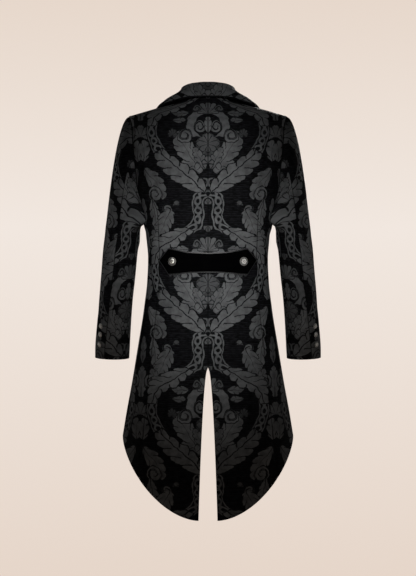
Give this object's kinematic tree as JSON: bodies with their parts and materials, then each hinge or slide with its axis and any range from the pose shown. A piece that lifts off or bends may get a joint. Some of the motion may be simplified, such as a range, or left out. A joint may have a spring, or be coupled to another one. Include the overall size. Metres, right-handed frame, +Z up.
{
  "type": "tailcoat",
  "caption": "Fitted tailcoat in black damask, filled out as worn: turned-down collar, two-piece sleeves, cut-away front, vented tails and a buttoned velvet half belt.",
  "frame": {"origin": "middle of the wearer's neck at its base, 11 mm below the neck seam at the nape", "axes": "+X to the wearer's right, +Y to the wearer's front, +Z up"},
  "size_m": [0.5904, 0.28, 1.1169],
  "materials": {
    "damask": "black and grey woven damask, satin figure on a matt ribbed ground",
    "velvet": "black velvet",
    "satin": "black satin",
    "metal": "silver-coloured, darkened in the hollows"
  },
  "bodies": {
    "root": {"back_left": "damask", "back_right": "damask", "side_left": "damask", "side_right": "damask", "front_left": "damask", "front_right": "damask", "lapel_left": "damask", "lapel_right": "damask", "sleeve_top_left": "damask", "sleeve_top_right": "damask", "sleeve_under_left": "damask", "sleeve_under_right": "damask", "collar": "damask", "belt": "velvet", "belt_edge": "satin", "belt_button_left": "metal", "belt_button_right": "metal", "front_button_1": "metal", "front_button_2": "metal", "front_button_3": "metal", "cuff_button_left_1": "metal", "cuff_button_left_2": "metal", "cuff_button_left_3": "metal", "cuff_button_right_1": "metal", "cuff_button_right_2": "metal", "cuff_button_right_3": "metal"}
  },
  "joints": []
}
